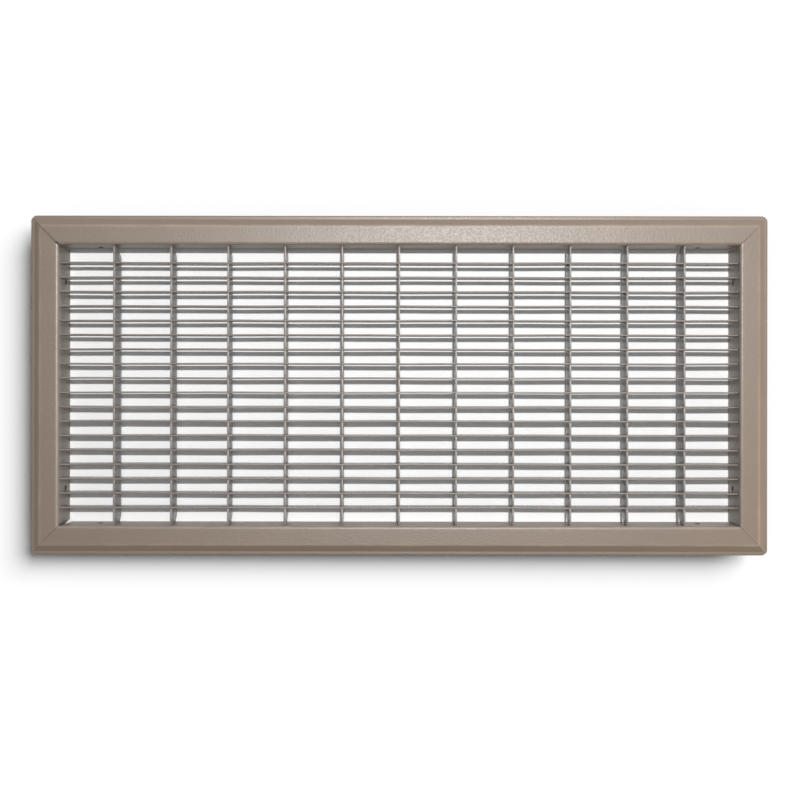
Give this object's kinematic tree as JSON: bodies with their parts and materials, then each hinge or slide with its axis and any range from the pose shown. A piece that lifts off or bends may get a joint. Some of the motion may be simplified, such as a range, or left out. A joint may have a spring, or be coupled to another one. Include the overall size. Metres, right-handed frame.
{
  "type": "fixed-blade air grille",
  "caption": "Rectangular steel air grille: a mitred, formed-sheet frame with a drop-in collar round a core of straight blades let into slotted cross bars.",
  "frame": {"origin": "midway between the lower edges of the collar, which is where the grille rests when it lies face up on a table", "axes": "+X along the long side, +Y across it, +Z out of the face"},
  "size_m": [0.6524, 0.3008, 0.0254],
  "materials": {
    "frame_enamel": "semi-gloss taupe baked enamel with a fine orange-peel texture",
    "blade_enamel": "semi-gloss taupe baked enamel with a fine orange-peel texture",
    "bar_enamel": "semi-gloss taupe baked enamel with a fine orange-peel texture"
  },
  "bodies": {
    "root": {"top_rail": "frame_enamel", "bottom_rail": "frame_enamel", "left_stile": "frame_enamel", "right_stile": "frame_enamel", "blade_01": "blade_enamel", "blade_02": "blade_enamel", "blade_03": "blade_enamel", "blade_04": "blade_enamel", "blade_05": "blade_enamel", "blade_06": "blade_enamel", "blade_07": "blade_enamel", "blade_08": "blade_enamel", "blade_09": "blade_enamel", "blade_10": "blade_enamel", "blade_11": "blade_enamel", "blade_12": "blade_enamel", "blade_13": "blade_enamel", "blade_14": "blade_enamel", "blade_15": "blade_enamel", "blade_16": "blade_enamel", "blade_17": "blade_enamel", "blade_18": "blade_enamel", "cross_bar_01": "bar_enamel", "cross_bar_02": "bar_enamel", "cross_bar_03": "bar_enamel", "cross_bar_04": "bar_enamel", "cross_bar_05": "bar_enamel", "cross_bar_06": "bar_enamel", "cross_bar_07": "bar_enamel", "cross_bar_08": "bar_enamel", "cross_bar_09": "bar_enamel", "cross_bar_10": "bar_enamel", "cross_bar_11": "bar_enamel"}
  },
  "joints": []
}
